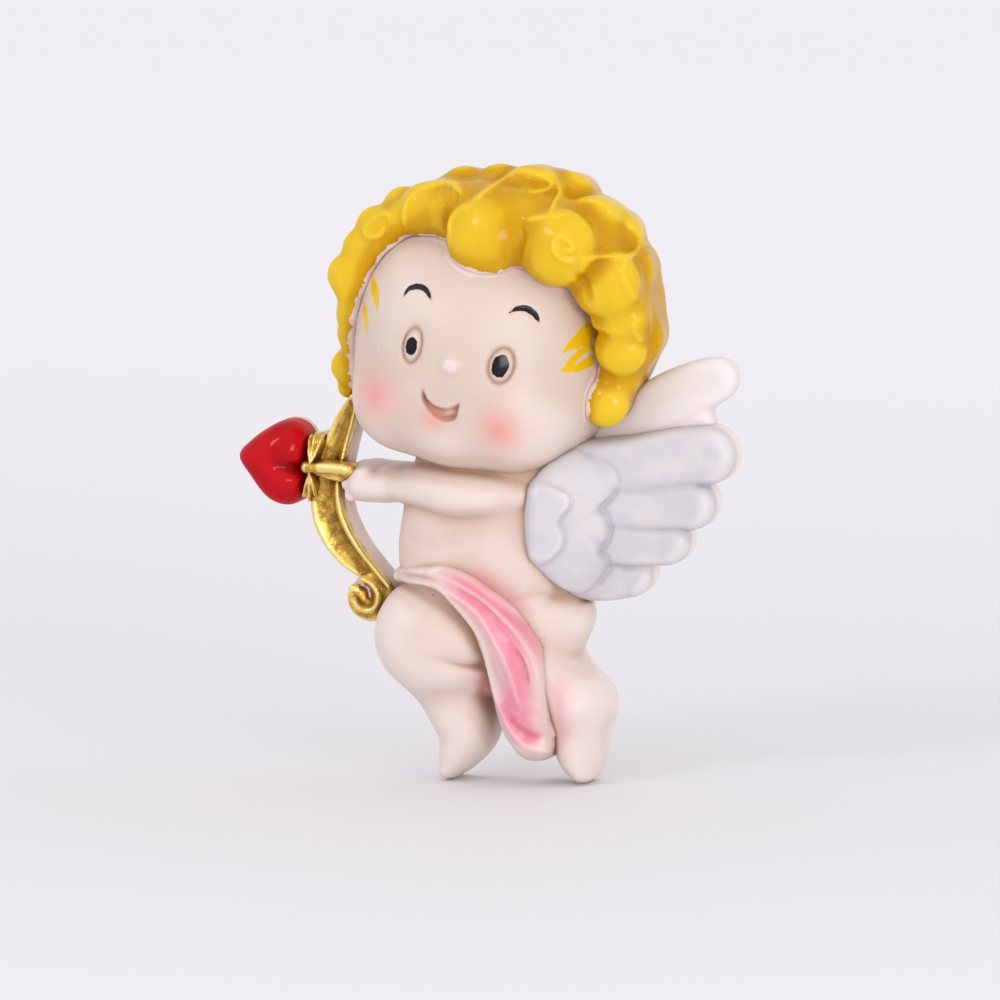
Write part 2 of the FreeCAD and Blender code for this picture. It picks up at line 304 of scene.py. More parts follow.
def cast(name, block, field, surroundings, material, marks, node):
    """Turns a field into a mesh object that stands for a CAD node and carries the marks that its paint reads.

    The hollow marks are above 0.5 in creases and below it on raised edges."""
    field = trimmed(block, field)
    surroundings = trimmed(block, surroundings)
    grid_points, quads = surface_net(field)
    grid_points = settle(block, field, grid_points)
    low = np.array([axis[0] for axis in block.axes])
    places = low + grid_points * np.array(block.steps)
    places[:, 1] = np.maximum(places[:, 1], 0)

    values = {}
    for label, (reach, gain) in HOLLOWS.items():
        cells = [max(1, round(reach / step)) for step in block.steps]
        values[label] = 0.5 + gain * sample(surroundings - blurred(surroundings, cells), grid_points)
    for label, grid in marks.items():
        values[label] = sample(np.broadcast_to(grid, field.shape), grid_points)

    mesh = bpy.data.meshes.new(name)
    in_frame = np.stack([places[:, 0], BACK_Y - places[:, 1], places[:, 2]], axis=1) * MM
    mesh.from_pydata(in_frame, [], quads)
    mesh.update()
    for label, column in values.items():
        layer = mesh.attributes.new(label, "FLOAT", "POINT")
        layer.data.foreach_set("value", column.astype(np.float32))
    mesh.polygons.foreach_set("use_smooth", np.ones(len(quads), dtype=bool))
    mesh.materials.append(material)
    piece = bpy.data.objects.new(name, mesh)
    bpy.context.scene.collection.objects.link(piece)
    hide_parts(node)
    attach(piece, BODY)


# ---- the frame in millimetres ----
def node_box(node):
    """The lowest and highest x, depth and z of a CAD node, in millimetres, from the flat back."""
    low, high = [[v / MM for v in corner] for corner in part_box(node)]
    return (low[0], 0.0, low[2]), (high[0], BACK_Y - low[1], high[2])


def node_block(node, step, room=1.2):
    """A grid round a CAD node, with some room for the sculpted surface to stand off it."""
    low, high = node_box(node)
    return Block([low[0] - room, 0, low[2] - room], [v + room for v in high], step)


# ---- the body: one continuous skin, split into its castings ----
SKIN_FILLET = 0.55  # how softly the limbs run into each other
LAP = 0.35  # how far one casting's skin passes under the next
INSET = 0.02  # how far it lies under it


def trunk_form(block):
    torso = limb(block, [
        (3.8, 13.6, 4.8, 2.8, 8.0), (2.6, 17.0, 7.6, 3.5, 10.0), (0.4, 21.0, 9.0, 3.8, 10.8),
        (-0.2, 25.5, 10.1, 3.9, 11.3), (0.4, 30.0, 10.1, 3.7, 10.8), (0.8, 34.0, 9.4, 3.6, 10.4),
        (1.0, 37.4, 7.2, 3.2, 9.4),
    ])
    seat = ball(block, 8.0, 18.9, 3.8, 3.8, undercut=0.15)
    waist = stroke(block, [(-9.2, 28.4), (-7.0, 27.4), (-3.6, 27.0)], 1.0)
    hip = stroke(block, [(7.6, 22.0), (9.6, 21.2), (11.6, 20.4)], 1.0)
    spine = stroke(block, [(-2.4, 26.4), (-3.0, 29.0)], 1.6)
    body = union(torso, seat, 1.6)
    return press(block, body, 0.25 * waist + 0.55 * hip + 0.2 * spine)


def head_form(block):
    outline = [
        (-15.1, 44.6), (-14.3, 40.4), (-11.4, 37.9), (-6.3, 36.4), (-0.7, 35.5), (4.8, 35.3), (9.4, 37.2),
        (12.4, 40.6), (13.4, 46.0), (13.0, 52.0), (11.0, 57.2), (7.0, 60.8), (1.5, 62.8), (-4.4, 63.1),
        (-9.6, 61.6), (-13.0, 58.1), (-14.6, 54.0), (-15.3, 49.6),
    ]
    skull = dome(block, (-1.6, 48.0), outline, 3.5, 17.9)
    right_cheek = ball(block, -8.4, 43.4, 9.2, 5.2)
    left_cheek = ball(block, 4.2, 41.6, 9.6, 5.6)
    chin = ball(block, -2.2, 41.6, 10.6, 5.2)
    face = all_of([skull, right_cheek, left_cheek, chin], 3.2)
    for feature in (eye_sockets, mouth, brows, nose):
        face = feature(block, face)
    return face


# Eyes: centre, half width and half height of the groove, then of the pupil.
EYES = (
    ((-5.6, 50.2), (1.12, 1.95), (0.7, 1.08)),
    ((4.45, 48.15), (1.3, 1.95), (0.9, 1.32)),
)
EYE_LEAN = math.radians(-12)


def ellipse_share(block, centre, radii, lean=EYE_LEAN):
    """0 at the centre of a leaning ellipse and 1 on its edge."""
    dx, dz = block.x - centre[0], block.z - centre[1]
    across = dx * math.cos(lean) + dz * math.sin(lean)
    up = dz * math.cos(lean) - dx * math.sin(lean)
    return np.hypot(across / radii[0], up / radii[1])


def eye_sockets(block, face):
    for centre, groove, pupil in EYES:
        share = ellipse_share(block, centre, groove)
        off_line = (share - 1) * min(groove)
        ring = np.exp(-((off_line / 0.2) ** 2))
        ball_of_eye = np.clip(1 - share**2, 0, None)
        soft_socket = np.exp(-((share / 1.7) ** 2))
        dip = ellipse_share(block, centre, pupil) < 0.95
        pattern = 0.42 * ring + 0.3 * soft_socket - 0.3 * ball_of_eye + 0.04 * dip
        face = press(block, face, pattern)
    return face


MOUTH_OUTER = [(-4.3, 45.8), (-4.45, 44.2), (-3.6, 42.7), (-2.1, 41.75), (-0.6, 42.15), (0.0, 44.1)]
MOUTH_INNER = [(-4.3, 45.8), (-3.8, 44.4), (-2.9, 43.6), (-1.75, 43.35), (-0.8, 43.6), (0.0, 44.1)]
BROWS = (
    ([(-7.15, 55.4), (-6.5, 56.3), (-5.5, 56.6), (-4.4, 56.3), (-3.55, 55.2)], 0.31),
    ([(5.15, 54.0), (5.95, 54.45), (6.85, 54.35), (7.6, 53.8), (8.2, 52.85)], 0.33),
)


def between(block, upper, lower):
    """The distance outside a thin closed shape between two curves that share their ends; negative inside."""
    outline = np.vstack([catmull_rom(upper), catmull_rom(lower)[::-1]])
    gap = np.full(np.broadcast_shapes(block.x.shape, block.z.shape), np.inf)
    inside = np.zeros(gap.shape, dtype=bool)
    for (x0, z0), (x1, z1) in zip(outline, np.roll(outline, -1, axis=0)):
        span = np.array([x1 - x0, z1 - z0])
        if span @ span == 0:
            continue
        dx, dz = block.x - x0, block.z - z0
        t = np.clip((dx * span[0] + dz * span[1]) / (span @ span), 0, 1)
        gap = np.minimum(gap, np.hypot(dx - t * span[0], dz - t * span[1]))
        if z0 != z1:
            crosses = (z0 > block.z) != (z1 > block.z)
            inside ^= crosses & (dx < (block.z - z0) * span[0] / span[1])
    return np.where(inside, -gap, gap)


def brow_line(block, points, width):
    """The distance outside a line that is widest in its middle and pointed at its ends."""
    line = Along(block, catmull_rom(points))
    return line.distance - width * np.sin(np.pi * np.clip(line.share, 0.06, 0.97)) ** 0.6


def mouth(block, face):
    gap = between(block, MOUTH_INNER, MOUTH_OUTER)
    hollow = 1 - smoothstep(-0.38, 0.12, gap)
    lip = np.exp(-((ellipse_share(block, (-1.5, 42.75), (1.0, 0.4), 0.25)) ** 2))
    chin_shadow = stroke(block, [(-3.6, 41.4), (-1.9, 40.9), (-0.2, 41.8)], 0.9)
    return press(block, face, 0.95 * hollow - 0.45 * lip + 0.08 * chin_shadow)


def brows(block, face):
    for points, width in BROWS:
        groove = 1 - smoothstep(-0.16, 0.1, brow_line(block, points, width))
        face = press(block, face, 0.22 * groove)
    return face


def nose(block, face):
    return union(face, ball(block, -0.95, 48.2, 17.15, 1.3), 0.35)


def left_arm_form(block):
    arm = limb(block, [
        (-14.2, 33.2, 2.3, 3.0, 8.4), (-11.6, 33.1, 2.2, 3.1, 8.8), (-9.2, 33.2, 2.15, 3.5, 10.0),
        (-6.0, 33.4, 2.95, 4.2, 12.0), (-2.6, 33.1, 3.5, 4.6, 13.0), (1.2, 32.9, 3.3, 4.4, 12.4),
        (4.6, 32.8, 2.7, 3.8, 11.0),
    ], squareness=2.3)
    thumb = ball(block, -13.9, 34.1, 7.0, 1.2)
    arm = union(arm, thumb, 0.4)
    for x, z in ((-15.6, 34.6), (-16.0, 33.2), (-15.6, 31.9)):
        arm = union(arm, ball(block, x, z, 6.3, 0.72), 0.45)
    wrist = stroke(block, [(-10.8, 34.6), (-11.0, 33.4), (-10.6, 31.0)], 0.9)
    fold = stroke(block, [(-14.6, 34.4), (-12.9, 34.7), (-11.9, 35.3)], 0.45)
    return press(block, arm, 0.16 * wrist + 0.2 * fold)


def right_leg_form(block):
    outline = [
        (-12.6, 17.2), (-12.2, 14.2), (-10.2, 11.4), (-6.4, 9.4), (-1.0, 10.0), (1.8, 13.0), (1.4, 17.6),
        (-1.6, 21.0), (-6.0, 22.4), (-9.8, 22.0), (-11.8, 19.8),
    ]
    thigh = dome(block, (-6.4, 16.6), outline, 5.6, 12.4, squareness=2.4)
    calf = limb(block, [
        (-5.6, 12.6, 4.3, 3.0, 8.8), (-3.6, 8.7, 3.8, 3.2, 9.0), (-2.8, 5.5, 3.1, 3.0, 8.4),
        (-3.8, 2.8, 2.05, 2.9, 7.7), (-4.6, 1.3, 1.3, 2.7, 7.2),
    ])
    leg = union(thigh, calf, 1.4)
    knee = [(-6.4, 15.2), (-4.6, 14.6), (-2.6, 14.0), (-0.6, 13.6), (2.6, 13.7)]
    crease = stroke(block, knee, 0.6, tapered=False) * smoothstep(-6.8, 0.5, block.x)
    return press(block, leg, 0.8 * crease)


def left_leg_form(block):
    thigh = limb(block, [
        (5.0, 16.0, 3.4, 3.4, 9.8), (7.0, 12.7, 3.6, 3.5, 10.2), (9.9, 9.1, 3.4, 3.3, 9.6),
    ], squareness=2.2)
    calf = limb(block, [
        (10.2, 8.7, 3.45, 3.2, 9.0), (10.1, 5.4, 3.0, 3.0, 8.4), (10.3, 3.0, 2.3, 2.9, 8.0),
        (10.8, 1.35, 1.3, 2.7, 7.4),
    ], squareness=2.2)
    return union(thigh, calf, 1.5)


SKIN_FORMS = {
    "head": head_form,
    "trunk": trunk_form,
    "left_arm": left_arm_form,
    "right_leg": right_leg_form,
    "left_leg": left_leg_form,
}

# ---- hair ----
# Each curl is x, z, depth of its centre, radius.
CURLS = (
    (-6.0, 64.7, 8.8, 2.95), (1.6, 62.0, 12.6, 4.4), (10.0, 61.1, 12.4, 4.4), (15.0, 56.9, 10.2, 3.9),
    (-2.6, 66.0, 5.0, 3.2), (1.6, 66.2, 5.6, 3.4), (5.9, 66.3, 8.0, 3.5), (9.2, 65.6, 6.0, 3.5),
    (12.6, 63.0, 8.2, 3.5), (14.4, 61.8, 6.4, 3.4), (-9.2, 64.5, 7.0, 2.4), (-11.9, 62.2, 8.0, 2.6),
    (-13.7, 59.9, 8.0, 2.3), (-15.2, 56.9, 8.2, 2.5), (-15.6, 50.2, 5.6, 1.6), (-15.4, 52.4, 6.6, 1.5),
    (-16.3, 46.2, 4.6, 2.0), (-16.5, 43.8, 4.0, 1.2), (16.4, 58.2, 6.0, 2.9), (16.2, 53.3, 9.0, 3.3),
    (17.0, 50.6, 5.4, 3.3), (16.2, 49.6, 8.4, 3.0), (15.3, 46.2, 6.4, 2.4), (14.1, 43.3, 7.4, 2.7),
    (5.8, 62.9, 11.6, 3.6), (-2.2, 63.9, 9.8, 2.8),
)
# The mass under the curls: x, z, half width, wall and top, from one temple over the crown to the other.
HAIR_MASS = [
    (-16.2, 44.6, 0.9, 2.4, 5.2), (-15.9, 48.6, 0.95, 4.8, 6.8), (-15.3, 53.2, 1.5, 7.0, 9.0),
    (-14.3, 57.4, 1.9, 7.4, 9.8), (-11.9, 61.3, 2.0, 7.0, 10.0), (-6.6, 64.3, 2.6, 6.6, 11.2),
    (1.2, 63.8, 4.3, 7.2, 13.8), (8.0, 62.2, 4.8, 7.8, 14.4), (13.4, 58.8, 4.2, 7.0, 12.4),
    (16.2, 53.6, 3.1, 5.8, 10.4), (16.1, 48.6, 2.5, 5.0, 8.8), (14.4, 43.8, 1.7, 4.2, 7.8),
]
# Raised lines where one curl laps over the next.
HAIR_RIDGES = (
    [(-6.8, 66.9), (-7.9, 65.6), (-8.2, 63.8), (-7.9, 62.5)],
    [(-6.8, 67.0), (-4.6, 67.7), (-2.5, 67.6), (-0.9, 66.6)],
    [(0.7, 65.9), (-1.2, 65.1), (-2.1, 63.8), (-2.0, 61.7)],
    [(4.1, 69.2), (3.0, 68.4), (1.4, 67.0), (0.4, 66.1)],
    [(6.7, 69.4), (8.3, 68.8), (9.4, 67.3), (9.6, 65.2), (10.1, 64.5)],
    [(6.7, 64.3), (8.8, 64.7), (11.2, 65.0)],
    [(10.9, 66.1), (13.3, 66.2), (15.2, 65.4), (16.2, 64.2)],
    [(16.1, 64.1), (17.6, 62.9), (18.1, 61.4), (17.4, 59.5), (17.6, 57.7), (18.5, 55.6)],
    [(13.1, 59.0), (14.1, 60.1), (16.5, 60.3), (18.3, 60.0)],
)
# Coils modelled on the fronts of curls, as raised lines.
COILS = (
    [(-11.2, 62.9), (-10.7, 62.4), (-11.3, 61.6), (-12.6, 61.5), (-13.0, 62.5), (-11.7, 63.7), (-10.4, 64.1),
     (-9.8, 63.2)],
    [(4.7, 68.3), (3.9, 68.7), (4.6, 69.2), (6.3, 69.1), (8.3, 68.2), (8.3, 67.5), (6.8, 67.3), (5.6, 67.7)],
    [(11.9, 62.5), (10.8, 62.7), (10.2, 61.8), (10.6, 60.6), (11.7, 59.9), (12.7, 60.0)],
    [(11.2, 62.6), (12.3, 61.8), (12.2, 61.1), (11.4, 60.9)],
    [(18.7, 53.2), (18.2, 52.2), (18.6, 50.8), (19.0, 51.6)],
)
# Sunk lines between the larger curls.
CREASES = (
    [(6.3, 64.2), (6.6, 62.4), (6.0, 60.6), (5.6, 59.4)],
    [(12.4, 58.8), (13.4, 57.0), (13.9, 54.8)],
    [(-2.6, 66.0), (-2.9, 64.0), (-2.5, 62.2)],
    [(12.2, 50.9), (13.8, 51.5), (15.6, 51.0)],
)


def hair_form(block):
    mass = limb(block, HAIR_MASS, squareness=2.3)
    curls = all_of([ball(block, *curl, undercut=0.15, flatness=0.7) for curl in CURLS], 0.8)
    hair = union(mass, curls, 1.0)
    pattern = 0
    for lines, width, sunk in ((HAIR_RIDGES, 0.31, -0.42), (COILS, 0.31, -0.5), (CREASES, 0.4, 0.3)):
        pattern = pattern + sunk * sum(stroke(block, points, width) for points in lines)
    return press(block, hair, pattern, from_depth=2.0)


# ---- drape ----
DRAPE_TOP_HEM = [
    (-9.4, 24.0), (-5.6, 24.3), (-3.6, 24.9), (-0.9, 24.2), (1.9, 22.4), (4.9, 20.0), (6.8, 17.6), (8.1, 15.0),
    (8.6, 12.3), (8.7, 9.2), (8.6, 6.0),
]
DRAPE_LOW_HEM = [
    (-9.4, 23.0), (-5.7, 22.9), (-3.9, 22.8), (-2.3, 21.4), (-0.3, 19.2), (1.0, 17.3), (1.6, 15.4), (1.7, 13.4),
    (2.2, 10.8), (3.1, 8.2), (4.2, 6.1), (5.8, 4.6), (7.6, 4.2),
]
# Points, width, and how far each fold stands out, or sinks where it is negative.
DRAPE_FOLDS = (
    ([(-3.7, 24.2), (-1.4, 23.3), (1.2, 21.8), (3.4, 20.0), (5.3, 17.9), (6.9, 15.1), (7.5, 11.9), (7.4, 9.3)],
     0.32, 0.32),
    ([(-4.3, 22.9), (-1.7, 21.9), (0.5, 20.6), (2.0, 18.7), (3.1, 16.6), (4.1, 14.1), (4.7, 11.8), (5.3, 9.3)],
     0.28, 0.32),
    ([(-2.6, 23.0), (1.0, 21.2), (3.0, 18.8), (4.6, 16.4), (5.6, 13.4), (6.2, 10.6), (6.4, 8.8)], 0.8, -0.5),
    ([(-0.6, 20.9), (0.9, 18.6), (2.0, 16.0), (2.9, 13.0), (3.6, 10.4), (4.6, 8.2)], 0.8, -0.35),
    ([(4.7, 16.5), (5.6, 15.1), (6.2, 13.2), (6.3, 11.3)], 0.2, -0.3),
    ([(3.4, 8.6), (4.8, 6.9), (6.3, 6.0), (7.9, 5.9)], 0.6, -0.4),
    ([(-9.0, 23.4), (-6.4, 23.6), (-4.6, 23.4), (-3.2, 22.8)], 0.3, -0.35),
)


def drape_form(block):
    cloth = limb(block, [
        (-9.8, 23.1, 1.0, 3.6, 7.4), (-7.6, 23.4, 1.2, 4.8, 10.2), (-5.2, 23.7, 1.5, 6.0, 12.0),
        (-1.6, 22.5, 2.1, 6.0, 13.7), (1.6, 19.6, 2.7, 6.0, 14.0), (3.4, 16.4, 3.3, 5.5, 13.5),
        (4.5, 13.5, 3.7, 5.0, 12.6), (5.0, 10.4, 3.8, 4.6, 11.6), (5.3, 7.6, 3.5, 4.2, 10.7),
        (5.9, 5.5, 2.9, 4.0, 10.0),
    ], squareness=2.8)
    raised = sum(out * stroke(block, points, width) for points, width, out in DRAPE_FOLDS)
    for hem in (DRAPE_TOP_HEM, DRAPE_LOW_HEM):
        raised = raised + 0.26 * stroke(block, hem, 0.36, tapered=False)
    return press(block, cloth, -raised, from_depth=5.0)


# ---- wings ----
# x, z, half width, wall and top along each long feather. Each one lies under the next.
FEATHERS = (
    [(8.0, 24.6, 3.4, 2.4, 6.2), (12.4, 23.8, 3.2, 2.4, 5.6), (15.6, 23.9, 2.9, 2.2, 4.6)],
    [(10.0, 27.4, 3.2, 2.5, 7.0), (15.6, 27.6, 3.1, 2.5, 6.0), (20.0, 27.6, 2.8, 2.4, 5.0)],
    [(10.0, 31.8, 3.2, 2.7, 7.4), (17.0, 31.6, 3.0, 2.7, 6.2), (22.7, 31.8, 3.0, 2.6, 5.3)],
    [(9.6, 35.4, 3.2, 2.9, 7.8), (16.6, 36.1, 3.3, 2.9, 6.7), (22.0, 37.1, 3.3, 2.9, 5.9),
     (24.7, 37.3, 3.3, 2.8, 5.6)],
)
FEATHER_GROOVES = (
    [(15.8, 32.9), (20.0, 33.2), (22.9, 33.7), (26.0, 34.5)],
    [(15.3, 28.9), (18.7, 28.7), (21.4, 28.8), (23.6, 29.3)],
    [(13.7, 25.0), (15.5, 24.7), (17.4, 24.5), (18.9, 24.9)],
)
COVERT_OUTLINE = [
    (10.4, 38.0), (7.8, 36.6), (5.9, 33.8), (5.3, 30.4), (5.8, 26.8), (7.4, 24.2), (9.4, 22.4), (11.2, 21.9),
    (12.8, 22.8), (13.9, 24.3), (14.1, 25.7), (13.4, 26.6), (14.2, 27.8), (14.5, 29.2), (14.2, 30.6),
    (13.6, 31.6), (14.9, 32.8), (15.5, 34.4), (15.0, 35.8), (13.7, 36.8), (12.0, 37.6),
]
# The short feathers on the coverts: their scalloped edge, and a curve round past the wing's own edge.
SHORT_FEATHER_EDGE = [
    (6.0, 36.0), (9.0, 34.2), (10.6, 33.3), (10.8, 31.9), (9.7, 30.3), (10.2, 28.6), (9.9, 27.2), (8.9, 26.0),
]
SHORT_FEATHER_ROOTS = [(6.0, 36.0), (2.0, 35.0), (1.0, 30.0), (3.0, 25.0), (7.0, 25.0), (8.9, 26.0)]
QUILLS = (
    ([(16.4, 36.2), (20.4, 37.0), (24.6, 37.2)], 1.4),
    ([(16.8, 30.9), (20.0, 31.2), (23.2, 31.6)], 1.0),
    ([(15.6, 26.8), (18.0, 26.8), (20.6, 27.0)], 0.9),
)


def left_wing_form(block):
    wing = all_of([limb(block, stations, squareness=4.0) for stations in FEATHERS], 0.15)
    middle = np.mean(np.array(COVERT_OUTLINE), axis=0)
    covert_top = np.interp(block.x, (4.0, 7.0, 10.0, 16.0), (11.7, 11.4, 9.8, 7.2))
    coverts = dome(block, middle, COVERT_OUTLINE, covert_top - 3.0, covert_top, squareness=3.6)
    wing = union(wing, coverts, 0.2)
    off_edge = between(block, SHORT_FEATHER_EDGE, SHORT_FEATHER_ROOTS)
    step = (1 - smoothstep(-0.3, 0.03, off_edge)) * smoothstep(5.4, 6.6, block.x)
    step = step * (1 - smoothstep(33.4, 35.6, block.z)) * smoothstep(24.6, 26.4, block.z)
    grooves = sum(stroke(block, points, 0.26) for points in FEATHER_GROOVES)
    quills = sum(stroke(block, points, width) for points, width in QUILLS)
    scallops = stroke(block, COVERT_OUTLINE[8:], 0.24, tapered=False)
    pattern = 0.22 * (grooves + scallops) + 0.1 * quills - 0.55 * step
    return press(block, wing, pattern, from_depth=3.0)


def right_wing_form(block):
    outline = [
        (11.0, 38.0), (13.4, 42.0), (17.0, 45.0), (21.4, 47.2), (25.2, 48.1), (27.2, 47.4), (27.8, 45.6),
        (27.0, 43.8), (25.0, 42.3), (25.2, 40.8), (24.2, 38.8), (21.0, 38.0), (16.0, 37.0),
    ]
    wing = dome(block, (19.6, 42.2), outline, 1.9, 3.3, squareness=3.0)
    quill = stroke(block, [(15.6, 41.6), (20.0, 43.8), (25.0, 45.8)], 1.3)
    split = stroke(block, [(18.6, 39.6), (22.0, 41.2), (25.4, 42.2)], 0.5)
    return press(block, wing, 0.1 * quill + 0.1 * split, from_depth=1.0)


# ---- bow and arrow ----
STAVE = [  # x, z, half width and depth of the front
    (-15.7, 42.5, 0.6, 5.0), (-16.7, 40.0, 1.2, 5.0), (-17.7, 37.0, 1.45, 5.2), (-18.6, 33.2, 1.65, 5.4),
    (-18.6, 30.0, 1.9, 5.3), (-17.7, 27.4, 1.9, 5.1), (-16.1, 25.1, 1.65, 5.0), (-14.4, 23.2, 1.5, 5.0),
    (-12.8, 21.4, 1.45, 5.0),
]
SCROLL_HOOK = [
    (-14.7, 22.3), (-13.6, 21.8), (-12.8, 20.8), (-12.8, 19.8), (-13.4, 19.0), (-14.3, 18.9), (-15.1, 19.3),
    (-15.5, 19.9),
]
SCROLL_NOTCH = [(-17.0, 22.9), (-15.2, 22.0), (-14.2, 21.2), (-13.9, 20.4)]


def bow_form(block):
    path = Along(block, catmull_rom(STAVE), measure_by_width=True)
    width, top = path.values
    across = -path.side / width
    right_rim = np.exp(-(((across - 0.78) / 0.24) ** 2))
    left_rim = np.exp(-(((across + 0.86) / 0.2) ** 2))
    valley = np.exp(-(((across + 0.05) / 0.5) ** 2))
    relief_map = 0.55 * right_rim + 0.2 * left_rim - 0.45 * valley * np.clip(width, 0, 1)
    stave = slab(block, path.distance - width, top + relief_map, 0.45)
    disc = np.hypot(block.x + 13.7, block.z - 20.3) - 2.75
    hook = stroke(block, SCROLL_HOOK, 0.42, tapered=False)
    scroll_top = 5.0 + 0.75 * hook - 0.25 * np.exp(-(((disc + 1.6) / 0.8) ** 2))
    scroll = slab(block, disc, scroll_top, 0.45)
    notch = stroke(block, SCROLL_NOTCH, 0.5, tapered=False)
    barb = ball(block, -15.4, 42.8, 4.7, 0.7)
    bow = union(union(stave, scroll, 0.3), barb, 0.3)
    return press(block, bow, 0.8 * notch, from_depth=2.6)


def heart_form(block):
    outline = [
        (-29.05, 35.9), (-27.6, 37.7), (-25.8, 39.0), (-24.1, 39.8), (-22.3, 39.7), (-21.0, 38.4),
        (-20.8, 36.4), (-21.0, 33.6), (-21.7, 31.3), (-23.4, 30.3), (-25.6, 31.0), (-27.6, 33.4),
    ]
    heart = dome(block, (-25.0, 35.2), outline, 2.8, 7.2, squareness=2.9)
    cleft = stroke(block, [(-20.8, 34.5), (-22.0, 34.7), (-23.6, 35.0)], 0.75, tapered=False)
    keel = stroke(block, [(-23.6, 36.8), (-26.0, 36.2), (-28.4, 35.7)], 1.0)
    dimple = np.exp(-((np.hypot(block.x + 22.4, block.z - 34.8) / 0.9) ** 2))
    return press(block, heart, 0.5 * cleft - 0.12 * keel + 0.4 * dimple)


def ferrule_form(block):
    """Two fans of folded foil, above and below the arrow, where it is crimped on the bow."""
    upper = [(-20.4, 35.2, 0.7, 4.8, 6.3), (-20.0, 36.4, 0.9, 4.6, 6.4), (-19.7, 37.6, 0.95, 4.2, 6.0)]
    lower = [(-20.3, 34.3, 0.7, 4.8, 6.3), (-20.3, 33.0, 0.9, 4.6, 6.4), (-20.6, 31.9, 0.75, 4.2, 6.0)]
    fans = union(limb(block, upper), limb(block, lower), 0.3)
    fold_ends = ((-20.7, 38.5), (-19.9, 38.8), (-19.0, 38.4), (-21.3, 31.6), (-20.6, 31.0), (-19.8, 31.6))
    folds = sum(stroke(block, [(-20.2, 34.8), end], 0.17, tapered=False) for end in fold_ends)
    return press(block, fans, -0.38 * folds, from_depth=3.0)


def shaft_form(block):
    """The arrow's rod: a bar with a groove along it and a knob at the end that the hand holds."""
    rod = limb(block, [
        (-20.7, 34.9, 0.8, 5.4, 6.9), (-18.4, 34.9, 0.85, 5.4, 7.2), (-16.4, 34.8, 0.9, 5.4, 7.3),
    ], squareness=2.6)
    strand = limb(block, [
        (-19.4, 34.3, 0.45, 5.2, 6.7), (-17.6, 34.0, 0.6, 5.2, 6.9), (-15.9, 33.7, 0.6, 5.2, 7.0),
    ])
    knob = ball(block, -15.6, 34.5, 6.4, 0.95)
    bar = union(union(rod, knob, 0.4), strand, 0.12)
    return cut(bar, 4.3 - block.depth, 0.3)


# Every sculpted node with its form. Each one gives way to the ones before it, as the castings do.
FORMS = {
    **SKIN_FORMS,
    "drape": drape_form,
    "left_wing": left_wing_form,
    "bow": bow_form,
    "hair": hair_form,
    "right_wing": right_wing_form,
    "arrow_shaft": shaft_form,
    "arrow_ferrule": ferrule_form,
    "heart_arrowhead": heart_form,
}
UNDERLAP = 0.15  # how far a casting runs on under the one it is glued to, in millimetres


def overlaps(block, node, room=2.0):
    low, high = node_box(node)
    return all(axis[0] - room < hi and lo < axis[-1] + room for axis, lo, hi in zip(block.axes, low, high))


def magnet_pocket(block):
    low, high = node_box("magnet")
    centre = [(a + b) / 2 for a, b in zip(low, high)]
    radius = (high[0] - low[0]) / 2 + 0.08
    across = lift(np.hypot(block.x - centre[0], block.z - centre[2])) - radius
    return cut(across, block.depth - high[1] - 0.08, 0.05)


def sculpt(node, step):
    """A grid, the node's own field, that of everything near it, to find hollows with, and each form's."""
    block = node_block(node, step)
    fields = {name: form(block) for name, form in FORMS.items() if name == node or overlaps(block, name)}
    skin = [name for name in fields if name in SKIN_FORMS]
    whole = all_of([fields[name] for name in skin], SKIN_FILLET) if skin else None
    others = [field for name, field in fields.items() if name not in skin]
    everything = np.minimum.reduce([whole, *others] if skin else others)
    if node in SKIN_FORMS:
        own = whole
        for other in skin:
            if other == node:
                continue
            under = list(SKIN_FORMS).index(other) < list(SKIN_FORMS).index(node)
            share = (fields[node] - fields[other]) / 2
            own = cut(own + (INSET if under else 0), share - (LAP if under else 0), 0.04)
        if node == "head":
            own = cut(own, -magnet_pocket(block), 0.05)
    else:
        own = fields[node]
        before = list(FORMS)[len(SKIN_FORMS) : list(FORMS).index(node)]
        rivals = [fields[name] for name in before if name in fields] + ([whole] if skin else [])
        for rival in rivals:
            drawn_in = 2 * np.clip(-rival, 0, UNDERLAP)  # keeps a grazing edge from breaking through
            own = cut(own + drawn_in, -UNDERLAP - rival, 0.04)
    fields["skin"] = whole
    return block, own, everything, fields


# ---- paint masks on the mesh ----
def painted(distance):
    """How a mask is kept on the mesh: 0.5 on the paint's edge, rising inwards by 0.5 per millimetre."""
    return np.clip(0.5 - 0.5 * distance, 0, 1)


def airbrush(block, strokes):
    """Soft sprayed lines: points, width and strength of each."""
    spray = sum(strength * stroke(block, points, width) for points, width, strength in strokes)
    return np.clip(spray, 0, 1)


def spot(block, x, z, radius, strength):
    return strength * np.exp(-((np.hypot(block.x - x, block.z - z) / radius) ** 2))


# Painted wisps of hair at the temples: tip, the points along each side, and root.
WISPS = (
    ((10.2, 49.2), [(11.2, 50.9), (12.2, 52.5)], [(12.2, 50.0), (13.7, 51.5)], (13.8, 54.1)),
    ((10.2, 47.2), [(11.1, 48.7), (12.3, 50.0)], [(11.9, 47.1), (13.5, 48.4)], (14.4, 51.1)),
    ((-10.4, 53.4), [(-11.2, 54.6), (-12.0, 55.8)], [(-10.4, 54.8), (-10.9, 56.1)], (-12.4, 57.4)),
    ((-11.9, 50.6), [(-12.6, 51.9), (-13.0, 53.2)], [(-11.8, 52.0), (-12.1, 53.3)], (-13.4, 54.8)),
)
# The bare strip inside the lower of the two on the viewer's right: centre, radii and lean.
WISP_GAP = ((12.1, 48.6), (0.2, 0.85), math.radians(-42))


